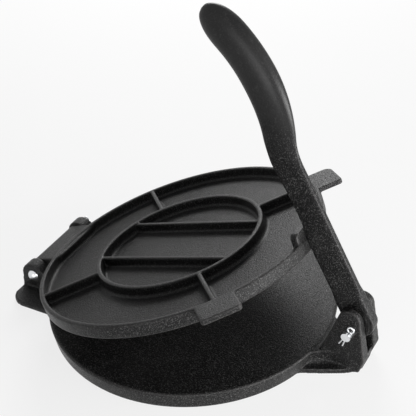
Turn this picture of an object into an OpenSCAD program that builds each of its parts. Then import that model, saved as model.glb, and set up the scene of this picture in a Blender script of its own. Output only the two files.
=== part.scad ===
// Cast iron tortilla press: base plate, hinged upper plate and pivoted lever handle.
// Millimetres. Origin on the supporting surface under the middle of the base disc,
// +X from the plate hinge to the handle, +Y along the hinge pins, +Z up.

/* [Plates] */
// Outer radius of the upper plate
lid_r = 126.2; // [100:0.1:160]
// Inset of the base disc's top edge from the upper plate's edge
base_inset = 0.2; // [0:0.1:3]
// Height of the base disc above the supporting surface
base_h = 16; // [13:0.5:24]
// Thickness of the base disc's flat floor
base_floor = 6; // [4:0.5:9]
// Width of the skirt under the base disc's edge
base_skirt = 5.5; // [4:0.5:10]
// Inward lean of the base disc's edge from top to bottom
base_draft = 2.2; // [0.5:0.1:5]
// Edge height of the upper plate
lid_h = 12.4; // [9:0.1:20]
// Thickness of the upper plate's flat floor
lid_floor = 3.6; // [3:0.1:7]
// Width of the upper plate's raised rim
rim_w = 4; // [2.5:0.1:8]
// Gap between the closed plates
plate_gap = 0.2; // [0.1:0.05:1]
// Angle by which the upper plate stands open at rest
lid_open = 17.9; // [0:0.1:40]

/* [Ribs on the upper plate] */
// Outer radius of the inner ring
ring_r = 74.3; // [50:0.1:95]
// Width of the inner ring
ring_w = 3.8; // [2.5:0.1:8]
// Width of the radial and straight ribs
rib_w = 4; // [2.5:0.1:8]
// Distance of each straight rib from the middle line
bar_off = 27.7; // [15:0.1:40]
// Drop of the straight ribs' top below the rim
bar_drop = 1; // [0:0.1:3]

/* [Lifting tabs and pressure lug] */
// Width of each lifting tab
tab_w = 32.8; // [20:0.1:45]
// Reach of each tab past the rim
tab_reach = 20.5; // [12:0.1:30]
// Thickness of the tabs
tab_t = 4.6; // [3:0.1:8]
// Large corner radius of a tab
tab_corner = 7; // [3.5:0.1:12]
// Small corner radius of a tab
tab_corner_small = 3; // [1:0.1:8]
// Angle of the tabs from the middle line
tab_ang = 45; // [30:1:60]
// Width of the pressure lug
lug_w = 28; // [20:0.1:36]
// Depth of the pressure lug
lug_d = 7.1; // [6:0.1:12]
// Inset of the pressure lug's outer face from the rim's
lug_inset = 0.5; // [0:0.1:2]
// Height of the pressure lug above the rim
lug_h = 8.9; // [4:0.1:14]
// Corner radius of the pressure lug
lug_corner = 3.6; // [1:0.1:5]

/* [Plate hinge] */
// Distance from the upper plate's edge to the hinge pin
hinge_out = 16.4; // [15:0.1:24]
// Height of the hinge pin above the base disc's top
hinge_rise = 1.5; // [0:0.1:4]
// Radius of the hinge pin
hinge_pin_r = 3.9; // [2.5:0.1:5]
// Outer radius of the upper plate's knuckle
knuckle_r = 9.5; // [7.5:0.1:11]
// Width of the knuckle
knuckle_w = 59; // [40:0.5:80]
// Side gap between the knuckle and each hinge ear
knuckle_gap = 0.5; // [0.2:0.1:1.5]
// Thickness of each hinge ear
hinge_ear_t = 11.5; // [7:0.5:14]
// Outer radius of each hinge ear
hinge_ear_r = 11.6; // [9:0.1:13]
// Radius of the hinge pin's domed head
hinge_head_r = 5.2; // [4.5:0.1:8]
// Thickness of the hinge pin's domed head
hinge_head_t = 3.4; // [2:0.1:5]

/* [Handle clevis] */
// Distance from the upper plate's edge to the handle pivot
pivot_out = 26.2; // [24:0.1:34]
// Height of the handle pivot above the base disc's top
pivot_rise = 24.5; // [20:0.1:30]
// Radius of the handle pivot pin
pivot_pin_r = 3.9; // [2.5:0.1:5]
// Side gap between the handle's arm and each clevis ear
arm_gap = 3; // [0.6:0.1:4]
// Gap between the upper plate's edge and the clevis ears
ear_gap = 2.5; // [1.5:0.1:5]
// Thickness of each clevis ear
clevis_ear_t = 10.8; // [7:0.1:14]
// Radius of the rounded top of each clevis ear
clevis_top_r = 9.8; // [8:0.1:11]
// Height of that rounding's middle above the pivot
clevis_top_rise = 14.3; // [8:0.1:20]
// Length of the clevis foot past the pivot
clevis_reach = 13.6; // [11:0.1:20]

/* [Feet] */
// Thickness of the foot flanges
flange_t = 4.5; // [3:0.1:7]
// Half width of the flange at the plate hinge
hinge_flange_half = 65; // [50:0.5:75]
// Length of that flange past the hinge pin
hinge_flange_reach = 12; // [10:0.5:25]
// Corner radius of that flange
hinge_flange_corner = 14; // [5:0.5:20]

/* [Handle] */
// Lean of the lever arm from upright, towards the plate hinge
arm_lean = 26.3; // [22:0.1:28]
// Length of the straight arm
arm_len = 139; // [110:1:170]
// Width of the arm
arm_w = 25; // [18:0.1:30]
// Thickness of the arm
arm_t = 6.4; // [5:0.1:14]
// Offset of the arm's middle line from the pivot
arm_off = 4; // [0:0.1:6]
// Radius of the bend between the arm and the grip
bend_r = 89; // [30:1:130]
// Angle of the bend
bend_ang = 18.9; // [5:0.1:35]
// Radius of the grip's curve
grip_r = 126; // [100:0.5:260]
// Angle that the grip turns through
grip_sweep = 52; // [20:0.5:60]
// Width of the grip at its widest
grip_w = 31.4; // [24:0.1:40]
// Thickness of the grip at its thickest
grip_t = 16.9; // [12:0.1:24]
// Clearance of the relief in the arm's back edge, where the upper plate swings past
relief_clear = 0.8; // [0.5:0.1:2]
// Radius of the eye at the foot of the handle
eye_r = 12.6; // [10.5:0.1:13]
// Side gap between the eye and each clevis ear
eye_gap = 0.25; // [0.1:0.05:1]

/* [Pins] */
// Radial clearance of each pin in its bores
pin_clear = 0.05; // [0.02:0.01:0.1]
// Length of each pin past the ear that its cotter stands on
pin_past = 6.4; // [5:0.1:9]
// Distance of a cotter hole from its ear
cotter_off = 3; // [2.4:0.1:3.8]
// Radius of a cotter hole
cotter_hole_r = 1.6; // [1.2:0.05:1.9]
// Radius of the cotter wire
cotter_wire_r = 0.75; // [0.5:0.01:1]
// Middle radius of the cotter's eye
cotter_eye_r = 2.6; // [2:0.1:4]
// Lean of the cotters from upright
cotter_lean = 23; // [0:1:60]

/* [Hidden] */
fine = 96;
eps = 0.01;
base_r = lid_r - base_inset;
hinge_x = lid_r + hinge_out;
hinge_z = base_h + hinge_rise;
pivot_z = base_h + pivot_rise;
slot_w = arm_t + 2 * arm_gap;
lid_bottom = plate_gap - hinge_rise;
lid_top = lid_bottom + lid_h;
floor_top = lid_bottom + lid_floor;
ear_in = knuckle_w / 2 + knuckle_gap;
ear_out = ear_in + hinge_ear_t;
clevis_out = slot_w / 2 + clevis_ear_t;
// Farthest reach of the upper plate from the hinge axis: its rim's top edge or its lug's
lid_sweep = max(
  norm([hinge_x + lid_r, lid_top]),
  norm([hinge_x + lid_r - lug_inset, lid_top + lug_h]));
pivot_x = lid_r + pivot_out;
foot_end = pivot_x + clevis_reach;
skirt_in = base_r - base_skirt;
skirt_mid = base_r - base_skirt / 2 - base_draft / 2;
edge_round = 1.2;
foot_top = base_h - 0.6;
slot_floor = base_h - 4;
slot_start = pivot_x - eye_r - 5;
wall_lean = 0.8;
flat_under = 1;
// Under ribs of the base disc
under_ring_r = 62;
under_rib_w = 4.5;
under_hub_r = 14;
under_ribs = 6;
cotter_shank_r = cotter_hole_r - 0.15;
cotter_leg = 8;
cotter_spread = 14;

IRON = [0.16, 0.16, 0.17];
STEEL = [0.72, 0.73, 0.75];

// Tangent points from a point to a circle: side is 1 or -1
function tangent(c, r, p, side) =
  let (d = norm(p - c), a = atan2(p[1] - c[1], p[0] - c[0]), b = acos(r / d))
  [c[0] + r * cos(a + side * b), c[1] + r * sin(a + side * b)];

// Handle path ---------------------------------------------------------------
grip_start = arm_lean - bend_ang;
function dir(a) = [-sin(a), cos(a)];
function out(a) = [cos(a), sin(a)];
arm_foot = [pivot_x, pivot_z] + arm_off * out(arm_lean);
arm_end = arm_foot + arm_len * dir(arm_lean);
bend_c = arm_end + bend_r * out(arm_lean);
bend_end = bend_c - bend_r * out(grip_start);
grip_c = bend_end - grip_r * out(grip_start);
bend_l = bend_r * bend_ang * PI / 180;
grip_l = grip_r * grip_sweep * PI / 180;
path_l = arm_len + bend_l + grip_l;
// Lean of the path and its point at length s
function lean_at(s) = s < arm_len ? arm_lean
  : s < arm_len + bend_l ? arm_lean - (s - arm_len) / bend_r * 180 / PI
  : grip_start + (s - arm_len - bend_l) / grip_r * 180 / PI;
function at(s) = s < arm_len ? arm_foot + s * dir(arm_lean)
  : s < arm_len + bend_l ? bend_c - bend_r * out(lean_at(s))
  : grip_c + grip_r * out(lean_at(s));
function ease(t) = let (u = max(0, min(1, t))) u * u * (3 - 2 * u);
// Share of the way from arm to full grip, and the rounding at the tip
function swell(s) = ease((s - arm_len + 8) / (grip_l * 0.78));
tip_l = 30;
function tip(s) = let (u = max(0, (s - path_l + tip_l) / tip_l)) pow(1 - pow(u, 2.6), 0.42);
function half_w(s) = (arm_w + (grip_w - arm_w) * swell(s)) / 2 * tip(s);
function half_t(s) = (arm_t + (grip_t - arm_t) * swell(s)) / 2 * tip(s);
// Corner shape of the section: high is square, 2 is an ellipse
function square_at(s) = 6 - 3.6 * ease((s - arm_len + 25) / 45);
function soft(v, n) = sign(v) * pow(abs(v), 2 / n);

module base_plate() {
  color(IRON)
  difference() {
    union() {
      base_disc();
      base_under_ribs();
      difference() {
        union() {
          hinge_foot();
          hinge_ears();
          clevis_foot();
        }
        // the feet and ears end inside the disc's skirt
        translate([0, 0, -1])
        cylinder(r = skirt_mid, h = base_h + 1.5, $fn = 180);
      }
      clevis_ears();
    }
    // bore of the plate hinge
    translate([-hinge_x, 0, hinge_z])
    rotate([90, 0, 0])
    cylinder(r = hinge_pin_r + pin_clear, h = 2 * ear_out + 10, center = true, $fn = fine);
    // bore of the handle pivot
    translate([pivot_x, 0, pivot_z])
    rotate([90, 0, 0])
    cylinder(r = pivot_pin_r + pin_clear, h = 2 * clevis_out + 10, center = true, $fn = fine);
    // room under the knuckle
    translate([-hinge_x, 0, hinge_z])
    rotate([90, 0, 0])
    cylinder(r = knuckle_r + 0.8, h = 2 * ear_in, center = true, $fn = fine);
    // slot between the clevis ears
    translate([slot_start, -slot_w / 2, slot_floor])
    cube([60, slot_w, 90]);
  }
}

module base_disc() {
  rotate_extrude($fn = 180)
  polygon([
    [0, base_h - base_floor],
    [skirt_in - 3, base_h - base_floor],
    [skirt_in - 1.2, base_h - base_floor - 1.2],
    [skirt_in - base_draft, 0],
    [base_r - base_draft - edge_round, 0],
    [base_r - base_draft, edge_round],
    [base_r, base_h - edge_round],
    [base_r - edge_round, base_h],
    [0, base_h]]);
}

module base_under_ribs() {
  top = base_h - base_floor + eps;
  difference() {
    translate([0, 0, flat_under])
    cylinder(r = under_ring_r, h = top - flat_under, $fn = fine);
    translate([0, 0, -eps])
    cylinder(r = under_ring_r - under_rib_w, h = base_h - base_floor + eps, $fn = fine);
  }
  for (i = [0 : under_ribs - 1])
    rotate([0, 0, 30 + i * 360 / under_ribs])
    translate([under_hub_r / 2, -under_rib_w / 2, flat_under])
    cube([skirt_in - under_hub_r / 2, under_rib_w, top - flat_under]);
  cylinder(r = under_hub_r, h = top, $fn = fine);
}

module hinge_foot() {
  x0 = -hinge_x - hinge_flange_reach;
  linear_extrude(flange_t)
  union() {
    translate([x0 + hinge_flange_corner, -hinge_flange_half])
    square([60, 2 * hinge_flange_half]);
    translate([x0, -hinge_flange_half + hinge_flange_corner])
    square([60, 2 * (hinge_flange_half - hinge_flange_corner)]);
    for (s = [-1, 1])
      translate([x0 + hinge_flange_corner, s * (hinge_flange_half - hinge_flange_corner)])
      circle(r = hinge_flange_corner, $fn = fine);
  }
}

module hinge_ears() {
  c = [-hinge_x, hinge_z];
  left = [-hinge_x - hinge_ear_r - 1.8, 0];
  right = [-skirt_mid, base_h - 2.5];
  in_x = -skirt_mid + 15;
  tl = tangent(c, hinge_ear_r, left, -1);
  tr = tangent(c, hinge_ear_r, right, 1);
  for (s = [-1, 1])
    translate([0, s * (ear_in + ear_out) / 2 + hinge_ear_t / 2, 0])
    rotate([90, 0, 0])
    linear_extrude(hinge_ear_t)
    union() {
      translate(c)
      circle(r = hinge_ear_r, $fn = fine);
      polygon([left, [in_x, 0], [in_x, right[1]], right, tr, c, tl]);
    }
}

// One side of the clevis foot, from the disc out to the foot's end
flange_side = [
  [skirt_in - 8, clevis_out + 24],
  [base_r - 2, clevis_out + 17.5],
  [base_r + 9, clevis_out + 13.5],
  [foot_end - 20, clevis_out + 9.3],
  [foot_end - 10, clevis_out + 4.2],
  [foot_end - 4.5, clevis_out - 0.7],
  [foot_end - 1.8, clevis_out - 6.7]];
core_side = [
  [skirt_in - 8, clevis_out + 13],
  [base_r - 6.5, clevis_out + 11],
  [base_r - 0.8, clevis_out + 6.5],
  [base_r + 8, clevis_out + 1],
  [foot_end - 18, clevis_out + 0.4],
  [foot_end - 8, clevis_out + 0.3],
  [foot_end - 0.9, clevis_out - 0.6]];
function both_sides(p) =
  let (n = len(p))
  concat([for (i = [0 : n - 1]) [p[i][0], -p[i][1]]], [for (i = [n - 1 : -1 : 0]) p[i]]);

module clevis_foot() {
  linear_extrude(flange_t)
  polygon(both_sides(flange_side));
  linear_extrude(foot_top)
  polygon(both_sides(core_side));
}

module clevis_ears() {
  c = [pivot_x + 0.3, pivot_z + clevis_top_rise];
  right = [foot_end, flange_t];
  left = [lid_r + ear_gap, base_h];
  tr = tangent(c, clevis_top_r, right, 1);
  tl = tangent(c, clevis_top_r, left, -1);
  for (s = [-1, 1])
    translate([0, s * (slot_w / 2 + clevis_out) / 2 + clevis_ear_t / 2, 0])
    rotate([90, 0, 0])
    linear_extrude(clevis_ear_t)
    union() {
      translate(c)
      circle(r = clevis_top_r, $fn = fine);
      polygon([[lid_r + ear_gap, 1], [foot_end - 0.3, 1], right, tr, c, tl, left]);
    }
}

module upper_plate() {
  color(IRON)
  translate([-hinge_x, 0, hinge_z])
  rotate([0, -lid_open, 0])
  difference() {
    union() {
      translate([hinge_x, 0, 0])
      plate_body();
      knuckle();
    }
    // bore for the hinge pin
    rotate([90, 0, 0])
    cylinder(r = hinge_pin_r + pin_clear, h = knuckle_w + 10, center = true, $fn = fine);
  }
}

module plate_body() {
  rotate_extrude($fn = 180)
  polygon([
    [0, lid_bottom],
    [lid_r - edge_round, lid_bottom],
    [lid_r, lid_bottom + edge_round],
    [lid_r, lid_top - 0.8],
    [lid_r - 0.8, lid_top],
    [lid_r - rim_w, lid_top],
    [lid_r - rim_w - wall_lean, floor_top + 1.6],
    [lid_r - rim_w - wall_lean - 1.6, floor_top],
    [0, floor_top]]);
  plate_ring();
  radial_ribs();
  straight_ribs();
  for (s = [-1, 1])
    rotate([0, 0, s * tab_ang])
    lifting_tab(s);
  pressure_lug();
}

module plate_ring() {
  rotate_extrude($fn = 144)
  polygon([
    [ring_r + 1.8, floor_top - eps],
    [ring_r + 0.5, floor_top + 1.4],
    [ring_r, lid_top],
    [ring_r - ring_w, lid_top],
    [ring_r - ring_w - 0.5, floor_top + 1.4],
    [ring_r - ring_w - 1.8, floor_top - eps]]);
}

module radial_ribs() {
  for (a = [45, 135, 225, 315])
    rotate([0, 0, a])
    translate([ring_r - ring_w / 2, -rib_w / 2, floor_top - eps])
    cube([lid_r - rim_w / 2 - ring_r + ring_w / 2, rib_w, lid_top - floor_top]);
}

module straight_ribs() {
  half = sqrt(pow(ring_r - ring_w / 2, 2) - pow(bar_off, 2));
  for (s = [-1, 1])
    translate([-half, s * bar_off - rib_w / 2, floor_top - eps])
    cube([2 * half, rib_w, lid_top - bar_drop - floor_top]);
}

module lifting_tab(s) {
  end = lid_r + tab_reach;
  start = lid_r - rim_w / 2;
  half = tab_w / 2;
  big = s > 0 ? tab_corner : tab_corner_small;
  small = tab_corner_small;
  translate([0, 0, lid_top - tab_t])
  linear_extrude(tab_t)
  union() {
    translate([start, -half])
    square([end - small - start, half]);
    translate([start, -1])
    square([end - big - start, half + 1]);
    translate([start, -half + small])
    square([end - start, tab_w - small - big]);
    translate([end - small, -half + small])
    circle(r = small, $fn = fine);
    translate([end - big, half - big])
    circle(r = big, $fn = fine);
  }
}

module pressure_lug() {
  half = lug_w / 2;
  top = lid_top + lug_h;
  intersection() {
    translate([lid_r - lug_inset - lug_d, 0, 0])
    rotate([90, 0, 90])
    linear_extrude(lug_d + 5)
    union() {
      translate([-half, floor_top - eps])
      square([lug_w, top - lug_corner - floor_top + eps]);
      translate([-half + lug_corner, floor_top])
      square([lug_w - 2 * lug_corner, top - floor_top]);
      for (s = [-1, 1])
        translate([s * (half - lug_corner), top - lug_corner])
        circle(r = lug_corner, $fn = 48);
    }
    cylinder(r = lid_r - lug_inset, h = 80, center = true, $fn = 180);
  }
}

module knuckle() {
  len = hinge_x - lid_r + 8;
  rotate([90, 0, 0])
  cylinder(r = knuckle_r, h = knuckle_w, center = true, $fn = fine);
  translate([0, -knuckle_w / 2, lid_bottom])
  cube([len, knuckle_w, knuckle_r - lid_bottom]);
}

module handle() {
  n = 32;
  steps = 48;
  s0 = 1;
  rings = [for (i = [0 : steps]) let (u = i / steps) s0 + (path_l - 0.4 - s0) * u];
  pts = [
    for (s = rings)
    let (p = at(s), o = out(lean_at(s)), a = half_w(s), b = half_t(s), q = square_at(s))
    for (k = [0 : n - 1])
    let (g = k * 360 / n, du = a * soft(cos(g), q), dv = b * soft(sin(g), q))
    [p[0] + o[0] * du, dv, p[1] + o[1] * du]];
  last = steps * n;
  faces = concat(
    [[for (k = [0 : n - 1]) k]],
    [[for (k = [n - 1 : -1 : 0]) last + k]],
    [for (i = [0 : steps - 1], k = [0 : n - 1])
      [i * n + k, (i + 1) * n + k, (i + 1) * n + (k + 1) % n, i * n + (k + 1) % n]]);
  color(IRON)
  difference() {
    union() {
      polyhedron(points = pts, faces = faces, convexity = 6);
      translate([pivot_x, 0, pivot_z])
      rotate([90, 0, 0])
      cylinder(r = eye_r, h = slot_w - 2 * eye_gap, center = true, $fn = fine);
      // round foot of the arm
      translate([arm_foot[0], 0, arm_foot[1]])
      rotate([90, 0, 0])
      cylinder(r = arm_w / 2, h = arm_t - 0.6, center = true, $fn = fine);
    }
    translate([pivot_x, 0, pivot_z])
    rotate([90, 0, 0])
    cylinder(r = pivot_pin_r + pin_clear, h = slot_w + 10, center = true, $fn = fine);
    // shallow relief in the arm's back edge that lets the upper plate pass
    translate([-hinge_x, 0, hinge_z])
    rotate([90, 0, 0])
    cylinder(r = lid_sweep + relief_clear, h = arm_t + 10, center = true, $fn = 360);
  }
}

module hinge_pin() {
  dome_r = (pow(hinge_head_r, 2) + pow(hinge_head_t, 2)) / (2 * hinge_head_t);
  color(STEEL)
  translate([-hinge_x, 0, hinge_z])
  rotate([90, 0, 0])
  difference() {
    union() {
      translate([0, 0, -ear_out - pin_past])
      cylinder(r = hinge_pin_r, h = 2 * ear_out + pin_past + 1, $fn = fine);
      // domed head against the near ear
      intersection() {
        translate([0, 0, ear_out + hinge_head_t - dome_r + 0.1])
        sphere(r = dome_r, $fn = fine);
        translate([0, 0, ear_out + 0.1])
        cylinder(r = hinge_head_r, h = hinge_head_t, $fn = fine);
      }
    }
    translate([0, 0, -ear_out - cotter_off])
    rotate([90, 0, 0])
    cylinder(r = cotter_hole_r, h = 20, center = true, $fn = 48);
  }
}

module pivot_pin() {
  color(STEEL)
  translate([pivot_x, 0, pivot_z])
  rotate([0, cotter_lean, 0])
  rotate([90, 0, 0])
  difference() {
    cylinder(r = pivot_pin_r, h = 2 * (clevis_out + pin_past), center = true, $fn = fine);
    for (s = [-1, 1])
      translate([0, 0, s * (clevis_out + cotter_off)])
      rotate([90, 0, 0])
      cylinder(r = cotter_hole_r, h = 20, center = true, $fn = 48);
  }
}

// Split cotter: its eye up, its shank through a pin's hole, its two ends spread
module cotter(pin_r) {
  translate([0, 0, pin_r + cotter_eye_r + cotter_wire_r + 0.2])
  rotate([90, 0, 0])
  rotate_extrude($fn = 60)
  translate([cotter_eye_r, 0])
  circle(r = cotter_wire_r, $fn = 24);
  translate([0, 0, -pin_r - 1])
  cylinder(r = cotter_shank_r, h = 2 * pin_r + 2.2, $fn = 36);
  for (s = [-1, 1])
    translate([s * (cotter_shank_r - cotter_wire_r), 0, -pin_r - 0.4])
    rotate([0, 180 - s * cotter_spread, 0])
    cylinder(r = cotter_wire_r, h = cotter_leg, $fn = 24);
}

module cotter_pins() {
  color(STEEL) {
    for (s = [-1, 1])
      translate([pivot_x, s * (clevis_out + cotter_off), pivot_z])
      rotate([0, cotter_lean, 0])
      cotter(pivot_pin_r);
    translate([-hinge_x, ear_out + cotter_off, hinge_z])
    cotter(hinge_pin_r);
  }
}

base_plate();
upper_plate();
handle();
hinge_pin();
pivot_pin();
cotter_pins();
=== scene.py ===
import math

import bmesh
import bpy
from mathutils import Matrix, Vector


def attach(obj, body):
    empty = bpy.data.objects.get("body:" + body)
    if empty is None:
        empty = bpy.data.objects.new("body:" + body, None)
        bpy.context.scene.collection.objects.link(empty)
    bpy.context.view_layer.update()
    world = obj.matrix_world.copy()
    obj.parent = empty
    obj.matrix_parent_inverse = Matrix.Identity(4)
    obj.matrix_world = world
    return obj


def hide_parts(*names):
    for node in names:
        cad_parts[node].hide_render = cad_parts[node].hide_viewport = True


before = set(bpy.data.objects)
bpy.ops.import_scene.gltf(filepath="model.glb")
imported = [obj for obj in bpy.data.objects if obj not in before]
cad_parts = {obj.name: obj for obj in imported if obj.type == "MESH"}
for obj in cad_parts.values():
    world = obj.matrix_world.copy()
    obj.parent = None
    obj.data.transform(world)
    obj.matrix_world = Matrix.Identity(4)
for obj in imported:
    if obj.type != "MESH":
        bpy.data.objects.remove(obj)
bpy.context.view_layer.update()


# ---- Base plate -------------------------------------------------------------------------------
# One sand casting in grey iron, seasoned black. The disc is hollow beneath, with a hub, a ring and
# six ribs. Two ears for the plate hinge stand on a flange at one side, and the clevis for the
# handle on a waisted foot at the other. Each pin's holes are drilled after casting.
MM = 0.001
plate_r = 126.0
plate_h = 16.0
plate_floor = 6.0
skirt_in = 120.5
skirt_mid = 122.15
skirt_draft = 2.2
edge_round = 1.2
hinge_x = 142.6
hinge_z = 17.5
pivot_x = 152.4
pivot_z = 40.5
bore_r = 3.95
disc_under = plate_h - plate_floor


class Wire:
    """A socket in a node tree. Arithmetic on it adds Math nodes to that tree."""

    def __init__(self, nodes, socket):
        self.nodes = nodes
        self.socket = socket

    def math(self, operation, *others, turned=False):
        values = [self, *others]
        if turned:
            values.reverse()
        return self.nodes.add("ShaderNodeMath", {"operation": operation}, dict(enumerate(values)))

    def __add__(self, other):
        return self.math("ADD", other)

    def __radd__(self, other):
        return self.math("ADD", other)

    def __sub__(self, other):
        return self.math("SUBTRACT", other)

    def __rsub__(self, other):
        return self.math("SUBTRACT", other, turned=True)

    def __mul__(self, other):
        return self.math("MULTIPLY", other)

    def __rmul__(self, other):
        return self.math("MULTIPLY", other)

    def __truediv__(self, other):
        return self.math("DIVIDE", other)

    def __rtruediv__(self, other):
        return self.math("DIVIDE", other, turned=True)

    def __pow__(self, other):
        return self.math("POWER", other)

    def at_least(self, low):
        return self.math("MAXIMUM", low)

    def at_most(self, high):
        return self.math("MINIMUM", high)

    def clamped(self, low=0.0, high=1.0):
        return self.at_least(low).at_most(high)

    def sine(self):
        return self.math("SINE")

    def cosine(self):
        return self.math("COSINE")

    def part(self, name):
        return Wire(self.nodes, self.socket.node.outputs[name])


class Nodes:
    """Adds nodes to one tree: a type, its settings, and the values or wires of its sockets."""

    def __init__(self, tree):
        self.tree = tree

    def add(self, kind, settings=None, inputs=None, output=0):
        node = self.tree.nodes.new(kind)
        for name, value in (settings or {}).items():
            if name == "stops":
                ramp = node.color_ramp.elements
                while len(ramp) < len(value):
                    ramp.new(0.5)
                for stop, (place, colour) in zip(ramp, value):
                    stop.position = place
                    stop.color = colour
            else:
                setattr(node, name, value)
        for name, value in (inputs or {}).items():
            if isinstance(value, Wire):
                self.tree.links.new(value.socket, node.inputs[name])
            else:
                node.inputs[name].default_value = value
        return Wire(self, node.outputs[output] if len(node.outputs) else node.inputs[0])


def solid(name, corners, faces):
    """A closed mesh from corners in millimetres, with its faces pointing out."""
    shape = bmesh.new()
    points = [shape.verts.new([c * MM for c in corner]) for corner in corners]
    for face in faces:
        shape.faces.new([points[i] for i in face])
    bmesh.ops.remove_doubles(shape, verts=shape.verts, dist=1e-6)
    bmesh.ops.recalc_face_normals(shape, faces=shape.faces)
    mesh = bpy.data.meshes.new(name)
    shape.to_mesh(mesh)
    shape.free()
    return mesh


def turned(name, profile, steps=240):
    """A solid of revolution from a profile of (radius, height) that starts and ends on the axis."""
    corners = []
    for i in range(steps):
        angle = 2 * math.pi * i / steps
        corners += [(r * math.cos(angle), r * math.sin(angle), z) for r, z in profile]
    count = len(profile)
    faces = []
    for i in range(steps):
        here, there = i * count, (i + 1) % steps * count
        for j in range(count - 1):
            ring = [here + j, there + j, there + j + 1, here + j + 1]
            if profile[j][0] == 0:
                ring.pop(1)
            elif profile[j + 1][0] == 0:
                ring.pop(2)
            faces.append(ring)
    return solid(name, corners, faces)


def lofted(name, rings):
    """A solid through rings of points that all have as many points."""
    count = len(rings[0])
    corners = [p for ring in rings for p in ring]
    faces = [list(range(count)), [len(corners) - 1 - i for i in range(count)]]
    for i in range(len(rings) - 1):
        for j in range(count):
            k = (j + 1) % count
            faces.append([i * count + j, i * count + k, (i + 1) * count + k, (i + 1) * count + j])
    return solid(name, corners, faces)


def slab(name, outline, low, high):
    """An outline in plan, from one height to another."""
    return lofted(name, [[(x, y, z) for x, y in outline] for z in (low, high)])


def upright(name, outline, near, far):
    """An outline of (x, z), from one side to the other."""
    return lofted(name, [[(x, y, z) for x, z in outline] for y in (near, far)])


def arc(centre, radius, start, end, steps=24):
    """Points on an arc, with its angles in degrees."""
    angles = [math.radians(start + (end - start) * i / steps) for i in range(steps + 1)]
    return [(centre[0] + radius * math.cos(a), centre[1] + radius * math.sin(a)) for a in angles]


def touching(centre, radius, point, side):
    """The angle in degrees at which a line from the point touches the circle."""
    away = math.dist(point, centre)
    bearing = math.atan2(point[1] - centre[1], point[0] - centre[0])
    return math.degrees(bearing + side * math.acos(radius / away))


def rod(name, radius, near, far, x, z, steps=96):
    """A round bar along the pins' direction."""
    return upright(name, arc((x, z), radius, 0, 360 - 360 / steps, steps - 1), near, far)


def joined(name, meshes):
    """One mesh of several, each still a shell of its own."""
    shape = bmesh.new()
    for mesh in meshes:
        shape.from_mesh(mesh)
    result = bpy.data.meshes.new(name)
    shape.to_mesh(result)
    shape.free()
    return result


def placed(name, mesh):
    """An object for a mesh, linked to the scene."""
    piece = bpy.data.objects.new(name, mesh)
    bpy.context.scene.collection.objects.link(piece)
    return piece


def settled(piece):
    """The mesh of an object with its modifiers worked in. The object itself is removed."""
    graph = bpy.context.evaluated_depsgraph_get()
    mesh = bpy.data.meshes.new_from_object(piece.evaluated_get(graph))
    bpy.data.objects.remove(piece)
    return mesh


def cut(mesh, cutters, crossing=True):
    """A mesh with other meshes cut out of it."""
    piece = placed(mesh.name, mesh)
    tool = placed("cutter", joined("cutter", cutters))
    saw = piece.modifiers.new("cut", "BOOLEAN")
    saw.operation = "DIFFERENCE"
    saw.solver = "EXACT"
    saw.use_self = crossing
    saw.object = tool
    result = settled(piece)
    bpy.data.objects.remove(tool)
    return result


def cast(mesh, grain, softening, most=185000):
    """Crossing shells poured as one casting: fused, with soft edges and filled inner corners."""
    piece = placed(mesh.name, mesh)
    fused = piece.modifiers.new("fused", "REMESH")
    fused.mode = "VOXEL"
    fused.voxel_size = grain * MM
    soft = piece.modifiers.new("soft", "SMOOTH")
    soft.factor = 0.5
    soft.iterations = softening
    piece = placed(mesh.name, settled(piece))
    triangles = sum(len(face.vertices) - 2 for face in piece.data.polygons)
    if triangles > most:
        thin = piece.modifiers.new("thin", "DECIMATE")
        thin.ratio = most / triangles
    return settled(piece)


def finished(name, mesh, body, node, material):
    """The finished piece: smooth shaded, on its body, in place of its CAD node."""
    mesh.name = name
    mesh.materials.clear()
    mesh.materials.append(material)
    for face in mesh.polygons:
        face.use_smooth = True
        face.material_index = 0
    piece = placed(name, mesh)
    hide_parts(node)
    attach(piece, body)
    return piece


def tree_of(name, sizes):
    """A Geometry Nodes tree with a geometry input, named sizes and a material."""
    tree = bpy.data.node_groups.new(name, "GeometryNodeTree")
    face = tree.interface
    face.new_socket("Geometry", in_out="OUTPUT", socket_type="NodeSocketGeometry")
    face.new_socket("Geometry", in_out="INPUT", socket_type="NodeSocketGeometry")
    for label, value in sizes.items():
        if isinstance(value, int):
            kind = "NodeSocketInt"
        elif isinstance(value, float):
            kind = "NodeSocketFloat"
        else:
            kind = "NodeSocketVector"
        face.new_socket(label, in_out="INPUT", socket_type=kind).default_value = value
    face.new_socket("Material", in_out="INPUT", socket_type="NodeSocketMaterial")
    nodes = Nodes(tree)
    start = nodes.add("NodeGroupInput")
    return nodes, start


def close_tree(nodes, start, shape):
    """Ends a tree: instances made real and the material set."""
    real = nodes.add("GeometryNodeRealizeInstances", None, {"Geometry": shape})
    painted = nodes.add("GeometryNodeSetMaterial", None,
                        {"Geometry": real, "Material": start.part("Material")})
    nodes.add("NodeGroupOutput", None, {"Geometry": painted})
    return nodes.tree


def grown(name, data, tree, sizes, material):
    """The plain mesh that a tree makes of an object's data with these sizes."""
    piece = placed(name, data)
    growth = piece.modifiers.new(name, "NODES")
    growth.node_group = tree
    for item in tree.interface.items_tree:
        if item.in_out == "INPUT" and item.name in sizes:
            growth[item.identifier] = sizes[item.name]
        if item.in_out == "INPUT" and item.name == "Material":
            growth[item.identifier] = material
    piece.update_tag()
    return settled(piece)


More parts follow.
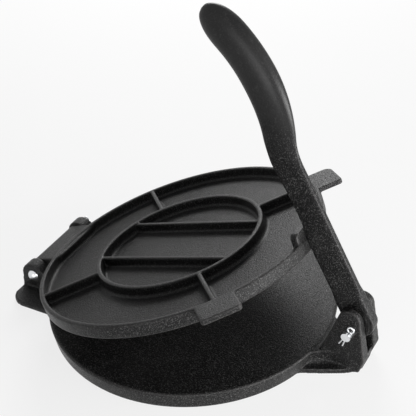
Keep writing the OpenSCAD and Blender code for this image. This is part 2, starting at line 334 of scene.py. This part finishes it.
def seasoned_iron():
    """The finish of every casting: oil baked on to sand-cast iron, with a painted highlight on its
    edges and painted shade in its creases.
    """
    material = bpy.data.materials.new("seasoned_iron")
    material.use_nodes = True
    tree = material.node_tree
    shader = tree.nodes["Principled BSDF"]
    nodes = Nodes(tree)
    place = nodes.add("ShaderNodeTexCoord").part("Object")

    def noise(scale, detail, roughness=0.55):
        return nodes.add("ShaderNodeTexNoise", None, {
            "Vector": place, "Scale": scale, "Detail": detail, "Roughness": roughness})

    def band(value, low, high):
        return ((value - low) / (high - low)).clamped()

    clouds = band(noise(34.0, 4.0), 0.35, 0.68)
    grain = noise(1050.0, 3.0, 0.6)
    fine = noise(2300.0, 2.0, 0.6)
    pits = nodes.add("ShaderNodeTexVoronoi", {"feature": "F1"},
                     {"Vector": place, "Scale": 520.0, "Randomness": 1.0})
    specks = band(noise(1150.0, 1.0, 0.5), 0.56, 0.68)
    dust = band(noise(420.0, 5.0, 0.7), 0.56, 0.74)
    # convex edges turn lighter: partly rubbed wear, partly a painted highlight along the edges
    sharp = nodes.add("ShaderNodeNewGeometry").part("Pointiness")
    rubbed_and_highlit_edges = band(sharp + (grain - 0.5) * 0.05, 0.515, 0.56)
    # painted shade: concave creases and inner corners are darkened towards black
    painted_crease_shade = band(0.5 - sharp, 0.02, 0.07)
    # the grip is worn smooth by hands
    height = nodes.add("ShaderNodeSeparateXYZ", None, {"Vector": place}).part("Z")
    handled = band(height, 0.17, 0.215)

    def mixed(factor, first, second):
        return nodes.add("ShaderNodeMix", {"data_type": "RGBA"},
                         {0: factor, 6: first, 7: second}, output=2)

    black = (0.0036, 0.0036, 0.0038, 1.0)
    grey = (0.0110, 0.0108, 0.0108, 1.0)
    speck = (0.125, 0.124, 0.122, 1.0)
    # the grey of rubbed wear and of the painted edge highlight
    worn_and_highlight_grey = (0.070, 0.068, 0.067, 1.0)
    colour = mixed(clouds * 0.75 + grain * 0.25, black, grey)
    colour = mixed(dust * 0.2, colour, speck)
    colour = mixed(specks * (0.62 - handled * 0.54), colour, speck)
    # painted highlight and rubbed wear on the convex edges
    colour = mixed(rubbed_and_highlit_edges * 0.7, colour, worn_and_highlight_grey)
    # painted shade in the creases
    colour = mixed(painted_crease_shade * 0.5, colour, black)
    tree.links.new(colour.socket, shader.inputs["Base Color"])
    rough = 0.23 + grain * 0.17 + clouds * 0.06 + handled * 0.08
    tree.links.new(rough.clamped(0.2, 0.9).socket, shader.inputs["Roughness"])
    relief = grain * 0.55 + fine * 0.3 + (0.45 - pits).clamped(0.0, 0.45) * -0.7
    bump = nodes.add("ShaderNodeBump", None, {
        "Strength": 1.0, "Distance": 0.0005, "Height": relief * (1.0 - handled * 0.7)},
        output="Normal")
    tree.links.new(bump.socket, shader.inputs["Normal"])
    tree.links.new((handled * 0.22).socket, shader.inputs["Coat Weight"])
    shader.inputs["Coat Roughness"].default_value = 0.38
    shader.inputs["IOR"].default_value = 1.23
    return material


iron = seasoned_iron()

disc = turned("disc", [
    (0, disc_under),
    (skirt_in - 3, disc_under),
    (skirt_in - 1.2, disc_under - 1.2),
    (skirt_in - skirt_draft, 0),
    (plate_r - skirt_draft - edge_round, 0),
    (plate_r - skirt_draft, edge_round),
    (plate_r, plate_h - edge_round),
    (plate_r - edge_round, plate_h),
    (0, plate_h)])

# the ring, the hub and the ribs under the disc
under_top = plate_h - plate_floor + 1
under_low = 1.0
under_ring = 62.0
under_rib_w = 4.5
hub_r = 14.0
hub = turned("hub", [(0, 0), (hub_r, 0), (hub_r + 1, under_top), (0, under_top)])
ring_profile = [(under_ring - under_rib_w, under_low), (under_ring, under_low),
                (under_ring + 1, under_top), (under_ring - under_rib_w - 1, under_top)]


def hoop(name, profile, steps=240):
    """A ring whose section is a closed profile clear of the axis."""
    count = len(profile)
    corners = []
    for i in range(steps):
        angle = 2 * math.pi * i / steps
        corners += [(r * math.cos(angle), r * math.sin(angle), z) for r, z in profile]
    faces = []
    for i in range(steps):
        here, there = i * count, (i + 1) % steps * count
        for j in range(count):
            k = (j + 1) % count
            faces.append([here + j, there + j, there + k, here + k])
    return solid(name, corners, faces)


def rib(name, start, end, width, low, high, flare, drop=0.0):
    """One straight rib along X: its sides lean, and its foot flares into the floor."""
    half = width / 2
    crown = high - drop
    outline = [(-half - flare, low), (-half - flare * 0.3, low + flare * 0.8), (-half, crown),
               (half, crown), (half + flare * 0.3, low + flare * 0.8), (half + flare, low)]
    return lofted(name, [[(x, y, z) for y, z in outline] for x in (start, end)])


nodes, start = tree_of("Spokes", {"Count": 6, "First angle": 0.5})
points = nodes.add("GeometryNodePoints", None, {"Count": start.part("Count")})
order = nodes.add("GeometryNodeInputIndex")
bearing = order * (2 * math.pi) / start.part("Count") + start.part("First angle")
turn = nodes.add("ShaderNodeCombineXYZ", None, {"Z": bearing})
copies = nodes.add("GeometryNodeInstanceOnPoints", None, {
    "Points": points, "Instance": start.part("Geometry"), "Rotation": turn})
spokes = close_tree(nodes, start, copies)

under_rib = slab("under_rib", [
    (hub_r / 2, -under_rib_w / 2), (skirt_in - 1, -under_rib_w / 2),
    (skirt_in - 1, under_rib_w / 2), (hub_r / 2, under_rib_w / 2)], under_low, under_top)
under_ribs = grown("under_ribs", under_rib, spokes,
                   {"Count": 6, "First angle": math.radians(30)}, iron)

# the hinge flange and its two ears
flange_t = 4.5
flange_half = 65.0
flange_reach = 12.0
flange_corner = 14.0
ear_in = 30.0
ear_out = 41.5
ear_r = 11.6
room_r = 10.3
flange_end = -hinge_x - flange_reach
corner_x = flange_end + flange_corner
corner_y = flange_half - flange_corner
flange = slab("flange", [(corner_x + 60, -flange_half), (corner_x + 60, flange_half)]
              + arc((corner_x, corner_y), flange_corner, 90, 180)
              + arc((corner_x, -corner_y), flange_corner, 180, 270), 0, flange_t)
ear_foot = (-hinge_x - ear_r - 1.8, 0)
ear_root = (-skirt_mid, plate_h - 2.5)
hinge_at = (-hinge_x, hinge_z)
left_touch = touching(hinge_at, ear_r, ear_foot, -1)
right_touch = touching(hinge_at, ear_r, ear_root, 1)
ear_outline = ([ear_foot, (-skirt_mid + 15, 0), (-skirt_mid + 15, ear_root[1]), ear_root]
               + arc(hinge_at, ear_r, right_touch, left_touch % 360))
ears = [upright("ear", ear_outline, near, near + ear_out - ear_in)
        for near in (-ear_out, ear_in)]

# the waisted foot of the clevis: a flat flange, and a web that sweeps up to the disc
slot_half = 6.2
slot_start = 135.4
slot_low = 12.0
clevis_out = 17.0
foot_end = 166.0
foot_top = plate_h - 0.6
foot_tuck = 4.5
tuck_top = 13
web_spread = 0.27
web_fillet = 4
flange_side = [
    (skirt_in - 8, clevis_out + 24), (skirt_in - 1, clevis_out + 19),
    (plate_r + 4, clevis_out + 14.2), (plate_r + 15, clevis_out + 9.2),
    (foot_end - 14.5, clevis_out + 3.6), (foot_end - 7, clevis_out - 2.4),
    (foot_end - 4, clevis_out - 8)]
core_side = [
    (skirt_in - 8, clevis_out + 13), (plate_r - 6.5, clevis_out + 11),
    (plate_r - 0.8, clevis_out + 6.5), (plate_r + 8, clevis_out + 1),
    (foot_end - 18, clevis_out + 0.4), (foot_end - 8, clevis_out + 0.3),
    (foot_end - 0.9, clevis_out - 0.6)]


def flowing(side, steps=8):
    """A smooth line through the points of one side."""
    ends = [side[0]] + side + [side[-1]]
    line = []
    for a, b, c, d in zip(ends, ends[1:], ends[2:], ends[3:]):
        for i in range(steps):
            t = i / steps
            line.append(tuple(
                0.5 * (2 * q + (r - p) * t + (2 * p - 5 * q + 4 * r - s) * t * t
                       + (3 * q - p - 3 * r + s) * t * t * t)
                for p, q, r, s in zip(a, b, c, d)))
    return line + [side[-1]]


def both_sides(side):
    """A whole outline from its half on one side."""
    return [(x, -y) for x, y in side] + [(x, y) for x, y in reversed(side)]


foot_flange = slab("foot_flange", both_sides(flowing(flange_side)), 0, flange_t)
wide = both_sides(flowing(flange_side))
narrow = both_sides(flowing(core_side))
web_rings = []
for height in (flange_t - 1, flange_t, flange_t + 0.7, flange_t + 1.5, flange_t + 2.5,
               flange_t + 4, foot_top):
    spread = web_spread * max(0.0, 1 - (height - flange_t) / web_fillet) ** 2.2
    end = foot_end - 0.9 - foot_tuck * max(0.0, 1 - height / tuck_top)
    web_rings.append([(min(n[0] + (w[0] - n[0]) * spread, end), n[1] + (w[1] - n[1]) * spread,
                       height) for w, n in zip(wide, narrow)])
web = lofted("web", web_rings)
# each ear leans inwards a little, and its top is rounded down towards the slot
clevis_top_r = 9.4
clevis_foot = (foot_end, 13.0)
clevis_left = (128.7, plate_h)
ear_draft = 0.03


def clevis_outline(drop):
    """The side of one clevis ear, with its top lowered by the drop."""
    top = (pivot_x - 0.5, pivot_z + 10.6 - drop)
    return ([(clevis_left[0], 1), (foot_end - foot_tuck, 1), clevis_foot]
            + arc(top, clevis_top_r, touching(top, clevis_top_r, clevis_foot, 1),
                  touching(top, clevis_top_r, clevis_left, -1) % 360)
            + [clevis_left])


clevis = []
for side in (-1, 1):
    rings = []
    for across, drop in ((slot_half, 4.8), (slot_half + 1.6, 2.4), (slot_half + 3.4, 0.8),
                         (slot_half + 5.5, 0.0), (clevis_out - 1.2, 0.0), (clevis_out, 0.8)):
        lean = ear_draft if across > slot_half + 5 else -ear_draft
        rings.append([(x, side * (across - lean * max(0.0, z - plate_h)), z)
                      for x, z in clevis_outline(drop)])
    clevis.append(lofted("clevis_ear", rings))

hollow = turned("hollow", [(0, -1), (skirt_mid, -1), (skirt_mid, plate_h + 0.5),
                           (0, plate_h + 0.5)])
feet = cut(joined("feet", [flange, *ears, foot_flange, web]), [hollow])
slot = slab("slot", [(slot_start, -slot_half), (200, -slot_half), (200, slot_half),
                     (slot_start, slot_half)], slot_low, 100.0)
knuckle_room = rod("knuckle_room", room_r, -ear_in, ear_in, -hinge_x, hinge_z)
base = cut(joined("base", [feet, *clevis]), [slot, knuckle_room])
base = joined("base", [base, disc, hub, hoop("under_ring", ring_profile), under_ribs])
base = cast(base, grain=0.9, softening=3)
base = cut(base, [rod("hinge_bore", bore_r, -50, 50, -hinge_x, hinge_z),
                  rod("pivot_bore", bore_r, -30, 30, pivot_x, pivot_z)], crossing=False)
finished("base_casting", base, "base", "base_plate", iron)


# ---- Upper plate ------------------------------------------------------------------------------
# The second casting: a shallow round tray with a raised rim, an inner ring and ribs on its back,
# two lifting tabs, a lug that the handle bears on, and the wide knuckle of the hinge. Its under
# face is flat. It is cast closed, and then turned open about the hinge pin.
lid_r = 126.2
lid_low = -1.3
lid_top = 11.1
lid_floor = 2.3
rim_w = 4.0
wall_lean = 0.8
ring_r = 74.3
ring_w = 3.8
rib_w = 4.0
bar_off = 27.7
bar_drop = 1.0
tray = turned("tray", [
    (0, lid_low), (lid_r - edge_round, lid_low), (lid_r, lid_low + edge_round),
    (lid_r, lid_top - 0.8), (lid_r - 0.8, lid_top), (lid_r - rim_w, lid_top),
    (lid_r - rim_w - wall_lean, lid_floor + 1.6), (lid_r - rim_w - wall_lean - 0.7, lid_floor + 0.5),
    (lid_r - rim_w - wall_lean - 2.2, lid_floor), (0, lid_floor)])
inner_ring = hoop("inner_ring", [
    (ring_r + 2.0, lid_floor - 1), (ring_r + 2.0, lid_floor), (ring_r + 0.6, lid_floor + 1.5),
    (ring_r, lid_top), (ring_r - ring_w, lid_top), (ring_r - ring_w - 0.6, lid_floor + 1.5),
    (ring_r - ring_w - 2.0, lid_floor), (ring_r - ring_w - 2.0, lid_floor - 1)])
spoke = rib("spoke", ring_r - ring_w / 2, lid_r - rim_w / 2, rib_w - 0.4, lid_floor - 0.4,
            lid_top, 1.9)
radial_ribs = grown("radial_ribs", spoke, spokes,
                    {"Count": 4, "First angle": math.radians(45)}, iron)

nodes, start = tree_of("Rails", {"Count": 2, "Spacing": 0.05})
order = nodes.add("GeometryNodeInputIndex")
across = (order - (start.part("Count") - 1.0) / 2.0) * start.part("Spacing")
line = nodes.add("GeometryNodePoints", None, {
    "Count": start.part("Count"),
    "Position": nodes.add("ShaderNodeCombineXYZ", None, {"Y": across})})
copies = nodes.add("GeometryNodeInstanceOnPoints", None, {
    "Points": line, "Instance": start.part("Geometry")})
rails = close_tree(nodes, start, copies)
bar_half = math.sqrt((ring_r - ring_w / 2) ** 2 - bar_off ** 2)
bar = rib("bar", -bar_half, bar_half, rib_w - 0.4, lid_floor - 0.4, lid_top, 1.9, bar_drop)
bars = grown("bars", bar, rails, {"Count": 2, "Spacing": 2 * bar_off * MM}, iron)

# the lifting tabs, each with one large corner on the side away from the hinge
tab_w = 32.8
tab_end = lid_r + 20.5
tab_t = 4.6
tabs = []
for side in (-1, 1):
    root = lid_r - rim_w / 2
    half = tab_w / 2
    far = 7.0 if side > 0 else 3.0
    outline = ([(root, -half)] + arc((tab_end - 3.0, -half + 3.0), 3.0, 270, 360, 12)
               + arc((tab_end - far, half - far), far, 0, 90, 12) + [(root, half)])
    spin = Matrix.Rotation(math.radians(45 * side), 4, "Z")
    tab = slab("tab", outline, lid_top - tab_t, lid_top)
    tab.transform(spin)
    tabs.append(tab)

lug_w = 28.0
lug_d = 7.1
lug_inset = 0.5
lug_top = lid_top + 8.9
lug_corner = 3.6
lug_half = lug_w / 2
lug_face = [(-lug_half - 1.6, lid_floor - 0.5), (-lug_half - 0.3, lid_floor + 1.6),
            (-lug_half, lid_floor + 3)]
lug_face += arc((-lug_half + lug_corner, lug_top - lug_corner), lug_corner, 180, 90, 12)
lug_face += arc((lug_half - lug_corner, lug_top - lug_corner), lug_corner, 90, 0, 12)
lug_face += [(lug_half, lid_floor + 3), (lug_half + 0.3, lid_floor + 1.6),
             (lug_half + 1.6, lid_floor - 0.5)]
lug_out = lid_r - lug_inset
lug_rings = []
for reach in (0.0, 1.0):
    ring = []
    for y, z in lug_face:
        inner_x = lug_out - lug_d
        outer_x = math.sqrt(lug_out ** 2 - y * y)
        ring.append((inner_x + (outer_x - inner_x) * reach, y, z))
    lug_rings.append(ring)
lug = lofted("lug", lug_rings)

knuckle_r = 9.5
knuckle_half = 29.5
tongue_end = -lid_r + 8
tongue = slab("tongue", [(-hinge_x, -knuckle_half), (tongue_end, -knuckle_half),
                         (tongue_end, knuckle_half), (-hinge_x, knuckle_half)],
              lid_low, knuckle_r)
knuckle = rod("knuckle", knuckle_r, -knuckle_half, knuckle_half, -hinge_x, 0)
upper = joined("upper", [tray, inner_ring, radial_ribs, bars, *tabs, lug, tongue, knuckle])
upper = cast(upper, grain=0.9, softening=3)
upper = cut(upper, [rod("knuckle_bore", bore_r, -40, 40, -hinge_x, 0)], crossing=False)
lid_open = math.radians(17.9)
pin_line = Vector((-hinge_x, 0, 0)) * MM
upper.transform(Matrix.Translation(Vector((-hinge_x, 0, hinge_z)) * MM)
                @ Matrix.Rotation(-lid_open, 4, "Y") @ Matrix.Translation(-pin_line))
finished("lid_casting", upper, "lid", "upper_plate", iron)


# ---- Handle -----------------------------------------------------------------------------------
# The third casting: a flat lever arm that leans over the plates, then bends upright and swells
# into a curved round grip. Its foot is a boss that turns on the pivot pin between the clevis ears.
arm_lean = math.radians(26.3)
arm_off = 4.0
arm_len = 139.0
arm_w = 25.0
arm_t = 6.4
bend_r = 89.0
bend_turn = math.radians(18.9)
grip_r = 126.0
grip_turn = math.radians(52)
grip_w = 31.4
grip_t = 16.9
tip_l = 30.0
foot_t = 11.0
boss_r = 12.6
boss_w = 11.9
rim_sweep = 269.044
relief_clear = 0.8
foot_x = pivot_x + arm_off * math.cos(arm_lean)
foot_z = pivot_z + arm_off * math.sin(arm_lean)

nodes, start = tree_of("Lever", {
    "Rings": 240, "Corners": 64, "Foot": (foot_x, 0.0, foot_z), "Arm lean": arm_lean,
    "Arm length": arm_len, "Arm width": arm_w, "Arm thickness": arm_t, "Bend radius": bend_r,
    "Bend turn": bend_turn, "Grip radius": grip_r, "Grip turn": grip_turn,
    "Foot thickness": foot_t, "Grip width": grip_w, "Grip thickness": grip_t,
    "Tip length": tip_l, "Unit": MM})
size = start.part
skin = nodes.add("GeometryNodeMeshGrid", None, {
    "Size X": 1.0, "Size Y": 1.0, "Vertices X": size("Rings"), "Vertices Y": size("Corners")})
here = nodes.add("ShaderNodeSeparateXYZ", None, {"Vector": nodes.add("GeometryNodeInputPosition")})
foot = nodes.add("ShaderNodeSeparateXYZ", None, {"Vector": size("Foot")})
step = (here.part("X") + 0.5) * (size("Rings") - 1.0)
angle = (here.part("Y") + 0.5) * (2 * math.pi)
bend_l = size("Bend radius") * size("Bend turn")
grip_l = size("Grip radius") * size("Grip turn")
length = size("Arm length") + bend_l + grip_l
# the first ring closes the foot end
s = (step - 1.0).at_least(0.0) / (size("Rings") - 2.0) * length
closing = step.at_most(1.0)
on_bend = (s - size("Arm length")).at_least(0.0).at_most(bend_l)
on_grip = (s - size("Arm length") - bend_l).at_least(0.0)
lean_bend = size("Arm lean") - on_bend / size("Bend radius")
lean_first = size("Arm lean") - size("Bend turn")
lean_grip = lean_first + on_grip / size("Grip radius")
lean = lean_bend + lean_grip - lean_first
on_arm = s.at_most(size("Arm length"))
path_x = (foot.part("X") - on_arm * size("Arm lean").sine()
          + size("Bend radius") * (size("Arm lean").cosine() - lean_bend.cosine())
          + size("Grip radius") * (lean_grip.cosine() - lean_first.cosine()))
path_z = (foot.part("Z") + on_arm * size("Arm lean").cosine()
          + size("Bend radius") * (size("Arm lean").sine() - lean_bend.sine())
          + size("Grip radius") * (lean_grip.sine() - lean_first.sine()))


def eased(share):
    """A share from 0 to 1 that starts and ends gently."""
    share = share.clamped()
    return share * share * (3.0 - 2.0 * share)


swell = eased((s - size("Arm length") + 8.0) / (grip_l * 0.78))
past = ((s - length + size("Tip length")) / size("Tip length")).clamped()
tip = (1.0 - past ** 2.3).at_least(0.0) ** 0.48
half_w = (size("Arm width") + (size("Grip width") - size("Arm width")) * swell) / 2.0
thick_foot = (size("Foot thickness") - size("Arm thickness")) * (1.0 - eased((s - 20.0) / 13.0))
thick_grip = (size("Grip thickness") - size("Arm thickness")) * swell
half_t = (size("Arm thickness") + thick_foot + thick_grip) / 2.0
# the section is nearly square along the arm and an oval on the grip
power = 2.0 / (6.0 - 3.9 * eased((s - size("Arm length") + 25.0) / 45.0))


def rounded(value):
    """Between a square and an oval: one coordinate of the section."""
    return value.math("SIGN") * value.math("ABSOLUTE") ** power


out = rounded(angle.cosine()) * half_w * tip * closing
side = rounded(angle.sine()) * half_t * tip * closing
unit = size("Unit")
point = nodes.add("ShaderNodeCombineXYZ", None, {
    "X": (path_x + out * lean.cosine()) * unit, "Y": side * unit,
    "Z": (path_z + out * lean.sine()) * unit})
shaped = nodes.add("GeometryNodeSetPosition", None, {"Geometry": skin, "Position": point})
shaped = nodes.add("GeometryNodeMergeByDistance", None, {"Geometry": shaped, "Distance": 1e-6})
lever_tree = close_tree(nodes, start, shaped)
lever = grown("lever", bpy.data.meshes.new("lever"), lever_tree, {}, iron)
shape = bmesh.new()
shape.from_mesh(lever)
bmesh.ops.recalc_face_normals(shape, faces=shape.faces)
shape.to_mesh(lever)
shape.free()
boss = rod("boss", boss_r, -boss_w / 2, boss_w / 2, pivot_x, pivot_z)
arm_foot = rod("arm_foot", arm_w / 2, 0.3 - foot_t / 2, foot_t / 2 - 0.3, foot_x, foot_z)
handle = cast(joined("handle", [lever, boss, arm_foot]), grain=0.6, softening=4)
# the arm's back edge is relieved where the upper plate swings past it
relief = rod("relief", rim_sweep + relief_clear, -9, 9, -hinge_x, hinge_z, 720)
handle = cut(handle, [rod("boss_bore", bore_r, -12, 12, pivot_x, pivot_z), relief], crossing=False)
finished("handle_casting", handle, "lever", "handle", iron)


# ---- Hinge pin and pivot pin ------------------------------------------------------------------
# Plain steel rods with a bright zinc plating. The hinge pin has a domed head at the near side, and
# the pivot pin is held at both ends. Each passes through its ears and is free in its bores.
def bright_zinc():
    """Zinc plating on drawn steel, with faint marks along the wire."""
    material = bpy.data.materials.new("bright_zinc")
    material.use_nodes = True
    tree = material.node_tree
    shader = tree.nodes["Principled BSDF"]
    nodes = Nodes(tree)
    place = nodes.add("ShaderNodeTexCoord").part("Object")
    cloud = nodes.add("ShaderNodeTexNoise", None, {"Vector": place, "Scale": 260.0, "Detail": 4.0})
    drawn = nodes.add("ShaderNodeMapping", None, {"Vector": place, "Scale": (1.0, 0.12, 1.0)})
    marks = nodes.add("ShaderNodeTexNoise", None, {"Vector": drawn, "Scale": 2600.0, "Detail": 2.0})
    colour = nodes.add("ShaderNodeMix", {"data_type": "RGBA"}, {
        0: cloud, 6: (0.60, 0.61, 0.63, 1.0),
        7: (0.80, 0.81, 0.82, 1.0)}, output=2)
    tree.links.new(colour.socket, shader.inputs["Base Color"])
    rough = 0.22 + cloud * 0.16 + marks * 0.08
    tree.links.new(rough.socket, shader.inputs["Roughness"])
    bump = nodes.add("ShaderNodeBump", None, {
        "Strength": 0.25, "Distance": 0.0002, "Height": marks}, output="Normal")
    tree.links.new(bump.socket, shader.inputs["Normal"])
    shader.inputs["Metallic"].default_value = 1.0
    return material


zinc = bright_zinc()
for name in ("hinge_pin", "pivot_pin"):
    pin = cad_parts[name]
    if len(pin.material_slots) == 0:
        pin.data.materials.append(zinc)
    for socket in pin.material_slots:
        socket.link = "OBJECT"
        socket.material = zinc


# ---- Cotter pins ------------------------------------------------------------------------------
# Split pins of bent zinc-plated wire, one at the far end of the hinge pin and one at each end of
# the pivot pin. The eye stays outside the hole and the two ends are spread to lock it.
wire_r = 0.74
eye_r = 2.6
pin_r = 3.9
leg_gap = 0.7
leg_l = 8.0
leg_spread = math.radians(7)
eye_at = pin_r + eye_r + 0.35
leg_top = -pin_r - 0.4
loop = [(math.cos(math.radians(a)) * eye_r, eye_at + math.sin(math.radians(a)) * eye_r)
        for a in range(-60, 241, 20)]
leg = [(leg_gap + leg_l * math.sin(leg_spread) * t, leg_top - leg_l * math.cos(leg_spread) * t)
       for t in (1.0, 0.66, 0.33)]
leg += [(leg_gap, leg_top + 0.4), (leg_gap, 0.0), (leg_gap, pin_r), (leg_gap + 0.1, pin_r + 0.7)]
route = leg + loop + [(-x, z) for x, z in reversed(leg)]
curve = bpy.data.curves.new("cotter", "CURVE")
curve.dimensions = "3D"
strand = curve.splines.new("NURBS")
strand.points.add(len(route) - 1)
for knot, (x, z) in zip(strand.points, route):
    knot.co = (x * MM, 0.0, z * MM, 1.0)
strand.order_u = 3
strand.use_endpoint_u = True
strand.resolution_u = 6

cotter_off = 3.0
cotter_turn = math.radians(25)
nodes, start = tree_of("Cotters", {
    "Wire radius": wire_r * MM, "Hinge end": (-0.14, 0.04, 0.02),
    "Near end": (0.15, -0.02, 0.04), "Far end": (0.15, 0.02, 0.04), "Turn": 0.4})
section = nodes.add("GeometryNodeCurvePrimitiveCircle", {"mode": "RADIUS"},
                    {"Resolution": 14, "Radius": start.part("Wire radius")})
bent = nodes.add("GeometryNodeCurveToMesh", None, {
    "Curve": start.part("Geometry"), "Profile Curve": section, "Fill Caps": True})
lean = nodes.add("ShaderNodeCombineXYZ", None, {"Y": start.part("Turn")})
group = nodes.add("GeometryNodeJoinGeometry")
for label, turn in (("Hinge end", None), ("Near end", lean), ("Far end", lean)):
    sockets = {"Geometry": bent, "Translation": start.part(label)}
    if turn is not None:
        sockets["Rotation"] = turn
    moved = nodes.add("GeometryNodeTransform", None, sockets)
    nodes.tree.links.new(moved.socket, group.socket.node.inputs["Geometry"])
cotter_tree = close_tree(nodes, start, group)
cotters = grown("cotters", curve, cotter_tree, {
    "Wire radius": wire_r * MM,
    "Hinge end": [v * MM for v in (-hinge_x, ear_out + cotter_off, hinge_z)],
    "Near end": [v * MM for v in (pivot_x, -clevis_out - cotter_off, pivot_z)],
    "Far end": [v * MM for v in (pivot_x, clevis_out + cotter_off, pivot_z)],
    "Turn": cotter_turn}, zinc)
finished("cotters", cotters, "base", "cotter_pins", zinc)


# ---- Table, light and camera ------------------------------------------------------------------
# A plain white table and backdrop. One soft lamp stands low on the lever's side, a weak one low in
# front, and one higher on the far side towards the hinge, which lights the tops.
floor = placed("table", solid("table", [(-3000, -3000, 0), (3000, -3000, 0), (3000, 3000, 0),
                                        (-3000, 3000, 0)], [(0, 1, 2, 3)]))
paper = bpy.data.materials.new("white_table")
paper.use_nodes = True
tree = paper.node_tree
shader = tree.nodes["Principled BSDF"]
shader.inputs["Base Color"].default_value = (0.86, 0.86, 0.86, 1.0)
shader.inputs["Roughness"].default_value = 0.75
nodes = Nodes(tree)


def in_view(nodes):
    """One on what the camera sees, directly, mirrored or through glass."""
    rays = nodes.add("ShaderNodeLightPath")
    return (rays.part("Is Camera Ray") + rays.part("Is Glossy Ray")
            + rays.part("Is Transmission Ray")).at_most(1.0)


glow = nodes.add("ShaderNodeEmission", None, {"Color": (1.0, 1.0, 1.0, 1.0), "Strength": 1.0})
both = nodes.add("ShaderNodeMixShader", None, {
    0: in_view(nodes) * 0.8, 1: Wire(nodes, shader.outputs[0]), 2: glow})
tree.links.new(both.socket, tree.nodes["Material Output"].inputs["Surface"])
floor.data.materials.append(paper)

world = bpy.data.worlds.new("studio")
bpy.context.scene.world = world
world.use_nodes = True
tree = world.node_tree
nodes = Nodes(tree)
sky = nodes.add("ShaderNodeBackground", None, {
    "Color": (1.0, 1.0, 1.0, 1.0), "Strength": 0.14 + in_view(nodes) * 0.86})
tree.links.new(sky.socket, tree.nodes["World Output"].inputs["Surface"])


def lamp(name, place, aim, width, height, power):
    """A rectangular lamp that faces the point it is aimed at."""
    light = bpy.data.lights.new(name, "AREA")
    light.shape = "RECTANGLE"
    light.size = width
    light.size_y = height
    light.energy = power
    holder = bpy.data.objects.new(name, light)
    bpy.context.scene.collection.objects.link(holder)
    holder.location = place
    holder.rotation_euler = (Vector(place) - Vector(aim)).to_track_quat("Z", "Y").to_euler()


lamp("right", (0.95, -0.05, 0.13), (0, 0, 0.07), 0.8, 0.2, 15)
lamp("front", (0.24, -0.95, 0.10), (0.1, 0, 0.24), 0.34, 0.2, 3.0)
lamp("back", (-0.6, 1.2, 0.75), (0, 0, 0.03), 0.6, 0.4, 13)

camera = bpy.data.cameras.new("camera")
camera.sensor_width = 36.0
camera.lens = 90.31
camera.shift_x = -0.01503
camera.shift_y = 0.0046
camera.clip_end = 20.0
viewer = bpy.data.objects.new("camera", camera)
bpy.context.scene.collection.objects.link(viewer)
right = Vector((0.87614, 0.47966, -0.04801))
up = Vector((-0.23603, 0.51371, 0.82486))
back = Vector((0.42031, -0.71136, 0.56330))
viewer.matrix_world = (Matrix.Translation((0.382306, -0.602513, 0.588598))
                       @ Matrix((right, up, back)).transposed().to_4x4())
bpy.context.scene.camera = viewer
bpy.context.scene.view_settings.view_transform = "Standard"
